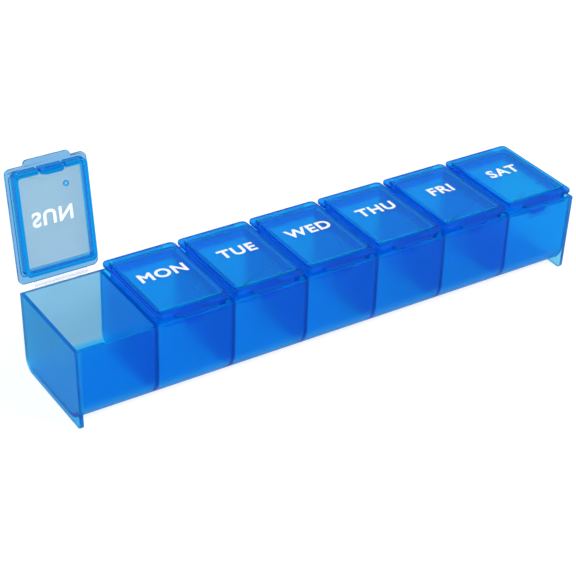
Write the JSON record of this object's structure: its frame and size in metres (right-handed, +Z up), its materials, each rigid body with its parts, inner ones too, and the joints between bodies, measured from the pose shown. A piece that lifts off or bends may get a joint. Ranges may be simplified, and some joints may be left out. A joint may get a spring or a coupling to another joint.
{
  "type": "weekly pill box",
  "caption": "Translucent blue weekly pill box: a row of compartments in one rolled-edge trough, each under its own flip lid with a living hinge, thumb tab and latch block.",
  "frame": {"origin": "centre of the foot of the whole assembly as stored, on the table plane, with the Sunday lid standing open", "axes": "+X along the row of compartments towards Saturday, +Y towards the hinges at the back, +Z up from the table"},
  "size_m": [0.2222, 0.054, 0.0811],
  "materials": {
    "blue_tray": "translucent gloss polypropylene",
    "blue_lid": "translucent gloss polypropylene",
    "hinge_film": "thin clear web"
  },
  "bodies": {
    "tray": {"trough": "blue_tray", "end_plate_left": "blue_tray", "end_plate_right": "blue_tray", "divider_1": "blue_tray", "divider_2": "blue_tray", "divider_3": "blue_tray", "divider_4": "blue_tray", "divider_5": "blue_tray", "divider_6": "blue_tray", "hinge_sun": "hinge_film", "hinge_mon": "hinge_film", "hinge_tue": "hinge_film", "hinge_wed": "hinge_film", "hinge_thu": "hinge_film", "hinge_fri": "hinge_film", "hinge_sat": "hinge_film"},
    "lid_sun_body": {"lid_sun": "blue_lid"},
    "lid_mon_body": {"lid_mon": "blue_lid"},
    "lid_tue_body": {"lid_tue": "blue_lid"},
    "lid_wed_body": {"lid_wed": "blue_lid"},
    "lid_thu_body": {"lid_thu": "blue_lid"},
    "lid_fri_body": {"lid_fri": "blue_lid"},
    "lid_sat_body": {"lid_sat": "blue_lid"}
  },
  "joints": [
    {"name": "lid_sun_hinge", "type": "hinge", "parent": "tray", "child": "lid_sun_body", "pos_m": [-0.0945, 0.01894, 0.0356], "axis": [-1, 0, 0], "range_deg": [-99.5, 80.5], "deforming": ["hinge_sun"]},
    {"name": "lid_mon_hinge", "type": "hinge", "parent": "tray", "child": "lid_mon_body", "pos_m": [-0.063, 0.01894, 0.0356], "axis": [-1, 0, 0], "range_deg": [0, 180], "deforming": ["hinge_mon"]},
    {"name": "lid_tue_hinge", "type": "hinge", "parent": "tray", "child": "lid_tue_body", "pos_m": [-0.0315, 0.01894, 0.0356], "axis": [-1, 0, 0], "range_deg": [0, 180], "deforming": ["hinge_tue"]},
    {"name": "lid_wed_hinge", "type": "hinge", "parent": "tray", "child": "lid_wed_body", "pos_m": [0, 0.01894, 0.0356], "axis": [-1, 0, 0], "range_deg": [0, 180], "deforming": ["hinge_wed"]},
    {"name": "lid_thu_hinge", "type": "hinge", "parent": "tray", "child": "lid_thu_body", "pos_m": [0.0315, 0.01894, 0.0356], "axis": [-1, 0, 0], "range_deg": [0, 180], "deforming": ["hinge_thu"]},
    {"name": "lid_fri_hinge", "type": "hinge", "parent": "tray", "child": "lid_fri_body", "pos_m": [0.063, 0.01894, 0.0356], "axis": [-1, 0, 0], "range_deg": [0, 180], "deforming": ["hinge_fri"]},
    {"name": "lid_sat_hinge", "type": "hinge", "parent": "tray", "child": "lid_sat_body", "pos_m": [0.0945, 0.01894, 0.0356], "axis": [-1, 0, 0], "range_deg": [0, 180], "deforming": ["hinge_sat"]}
  ]
}
